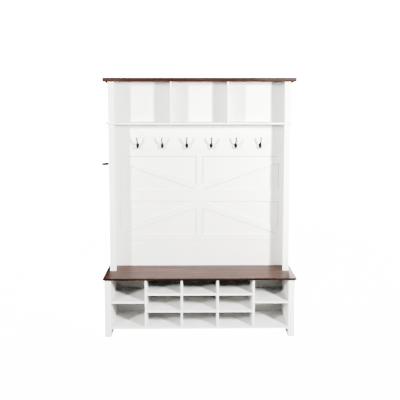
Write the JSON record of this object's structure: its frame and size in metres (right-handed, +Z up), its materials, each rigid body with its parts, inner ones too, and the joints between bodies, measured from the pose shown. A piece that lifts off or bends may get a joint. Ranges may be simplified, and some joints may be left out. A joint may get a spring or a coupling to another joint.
{
  "type": "hall tree with hooks",
  "caption": "Hall tree: a shoe bench with cubbies and a seat, a panelled hutch with coat hooks, and open cubbies under the top board.",
  "frame": {"origin": "on the floor, under the middle of the whole object's box", "axes": "+X to the right as seen from the front, +Y towards the wall, +Z up; the front faces -Y"},
  "size_m": [1.541, 0.4, 2.02],
  "materials": {
    "white_laminate": "white melamine-faced particle board with edge banding, satin",
    "walnut_laminate": "dark walnut-effect laminate with long grain, satin",
    "black_metal": "black powder-coated zinc alloy, satin"
  },
  "bodies": {
    "root": {"bench_back": "white_laminate", "bench_divider_1": "white_laminate", "bench_divider_2": "white_laminate", "bench_divider_3": "white_laminate", "bench_divider_4": "white_laminate", "bench_floor_shelf": "white_laminate", "bench_inner_side_left": "white_laminate", "bench_inner_side_right": "white_laminate", "bench_outer_side_left": "white_laminate", "bench_outer_side_right": "white_laminate", "bench_stile_left": "white_laminate", "bench_stile_right": "white_laminate", "coat_hook_1": "black_metal", "coat_hook_2": "black_metal", "coat_hook_3": "black_metal", "coat_hook_4": "black_metal", "coat_hook_5": "black_metal", "coat_hook_6": "black_metal", "crown_left": "walnut_laminate", "crown_right": "walnut_laminate", "cubby_back": "white_laminate", "cubby_divider_1": "white_laminate", "cubby_divider_2": "white_laminate", "cubby_side_left": "white_laminate", "cubby_side_right": "white_laminate", "cubby_stile_left": "white_laminate", "cubby_stile_right": "white_laminate", "hook_rail": "white_laminate", "hutch_side_left": "white_laminate", "hutch_side_right": "white_laminate", "hutch_stile_left": "white_laminate", "hutch_stile_right": "white_laminate", "lower_back": "white_laminate", "lower_panel_bottom_rail": "white_laminate", "lower_panel_centre_batten": "white_laminate", "lower_panel_diagonal_left": "white_laminate", "lower_panel_diagonal_right": "white_laminate", "lower_panel_side_batten_left": "white_laminate", "lower_panel_side_batten_right": "white_laminate", "lower_panel_top_rail": "white_laminate", "mid_shelf": "white_laminate", "seat": "walnut_laminate", "shoe_shelf_1_1": "white_laminate", "shoe_shelf_2_1": "white_laminate", "shoe_shelf_2_2": "white_laminate", "shoe_shelf_3_1": "white_laminate", "shoe_shelf_3_2": "white_laminate", "shoe_shelf_4_1": "white_laminate", "shoe_shelf_4_2": "white_laminate", "shoe_shelf_5_1": "white_laminate", "side_peg": "black_metal", "top_board": "walnut_laminate", "upper_back": "white_laminate", "upper_panel_bottom_rail": "white_laminate", "upper_panel_centre_batten": "white_laminate", "upper_panel_diagonal_left": "white_laminate", "upper_panel_diagonal_right": "white_laminate", "upper_panel_side_batten_left": "white_laminate", "upper_panel_side_batten_right": "white_laminate", "upper_panel_top_rail": "white_laminate"}
  },
  "joints": []
}
